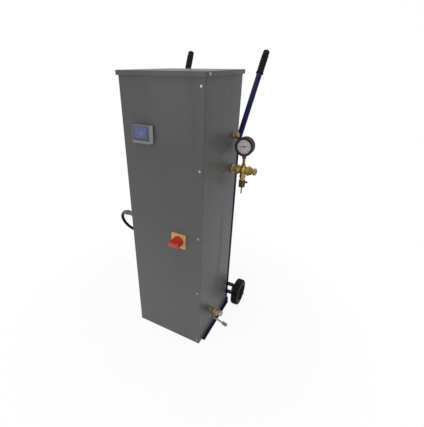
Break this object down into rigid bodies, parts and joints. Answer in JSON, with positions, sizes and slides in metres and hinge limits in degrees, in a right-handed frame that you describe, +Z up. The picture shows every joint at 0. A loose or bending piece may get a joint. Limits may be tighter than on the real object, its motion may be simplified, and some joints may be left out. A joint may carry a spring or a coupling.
{
  "type": "electric water heater on a hand truck",
  "caption": "Tall grey electric water heater on a wheeled hand truck, with a controller, rotary isolator, hot outlet with gauge and relief valve, and a levered cold inlet.",
  "frame": {"origin": "middle of the cabinet on the floor, on the underside of the toe plate", "axes": "+Z up, the control panel faces -Y, the water fittings are on the +X side"},
  "size_m": [0.4875, 0.5463, 1.1032],
  "materials": {
    "frame_paint": "semi-gloss navy paint",
    "grip_rubber": "matt black rubber",
    "cap_black": "black push-on cap",
    "tyre_rubber": "solid black rubber",
    "hub_plastic": "moulded black plastic",
    "cabinet_paint": "grey powder coat, satin",
    "controller_case": "silver moulding",
    "screen_blue": "glossy blue display",
    "isolator_yellow": "glossy yellow moulding",
    "isolator_red": "glossy red moulding",
    "brass": "cast and turned brass, slightly dull",
    "gauge_black": "black enamelled steel",
    "dial_white": "white dial",
    "needle_black": "black needle",
    "gauge_glass": "clear window",
    "cap_olive": "dark moulded cap",
    "dark_brass": "tarnished brass",
    "lever_steel": "zinc-plated steel",
    "lever_sleeve": "dull yellow sleeve",
    "gland_grey": "light-grey nylon",
    "cable_black": "black rubber sheath"
  },
  "bodies": {
    "heater": {"toe_plate": "frame_paint", "left_rail": "frame_paint", "right_rail": "frame_paint", "left_grip": "grip_rubber", "right_grip": "grip_rubber", "lower_crossbar": "frame_paint", "middle_crossbar": "frame_paint", "upper_crossbar": "frame_paint", "left_wheel_bracket": "frame_paint", "right_wheel_bracket": "frame_paint", "left_axle": "frame_paint", "right_axle": "frame_paint", "left_axle_cap": "cap_black", "right_axle_cap": "cap_black", "front_left_panel": "cabinet_paint", "back_right_panel": "cabinet_paint", "lid": "cabinet_paint", "controller_housing": "controller_case", "controller_screen": "screen_blue", "isolator_plate": "isolator_yellow", "outlet_locknut": "brass", "outlet_nipple": "brass", "outlet_tee": "brass", "outlet_spigot": "brass", "gauge_stem": "brass", "gauge_case": "gauge_black", "gauge_dial": "dial_white", "gauge_needle": "needle_black", "gauge_glass": "gauge_glass", "relief_valve_body": "brass", "relief_valve_spindle": "dark_brass", "blanking_plug": "brass", "inlet_locknut": "brass", "inlet_valve_body": "brass", "upper_cable_gland": "gland_grey", "lower_cable_gland": "gland_grey", "link_cable": "cable_black"},
    "left_wheel": {"left_tyre": "tyre_rubber", "left_hub": "hub_plastic"},
    "right_wheel": {"right_tyre": "tyre_rubber", "right_hub": "hub_plastic"},
    "isolator": {"isolator_knob": "isolator_red"},
    "relief_cap": {"relief_valve_cap": "cap_olive"},
    "inlet_lever": {"inlet_valve_lever": "lever_steel", "inlet_lever_grip": "lever_sleeve"}
  },
  "joints": [
    {"name": "left_wheel_spin", "type": "hinge", "parent": "heater", "child": "left_wheel", "pos_m": [-0.201, 0.1745, 0.0625], "axis": [1, 0, 0], "continuous": true},
    {"name": "right_wheel_spin", "type": "hinge", "parent": "heater", "child": "right_wheel", "pos_m": [0.201, 0.1745, 0.0625], "axis": [1, 0, 0], "continuous": true},
    {"name": "isolator_turn", "type": "hinge", "parent": "heater", "child": "isolator", "pos_m": [0.06, -0.165, 0.49], "axis": [0, -1, 0], "range_deg": [0, 90]},
    {"name": "relief_cap_turn", "type": "hinge", "parent": "heater", "child": "relief_cap", "pos_m": [0.195, 0.101, 0.652], "axis": [0, 0, 1], "range_deg": [0, 90]},
    {"name": "inlet_valve_turn", "type": "hinge", "parent": "heater", "child": "inlet_lever", "pos_m": [0.177, -0.062, 0.1], "axis": [0, 0, -1], "range_deg": [0, 90]}
  ]
}
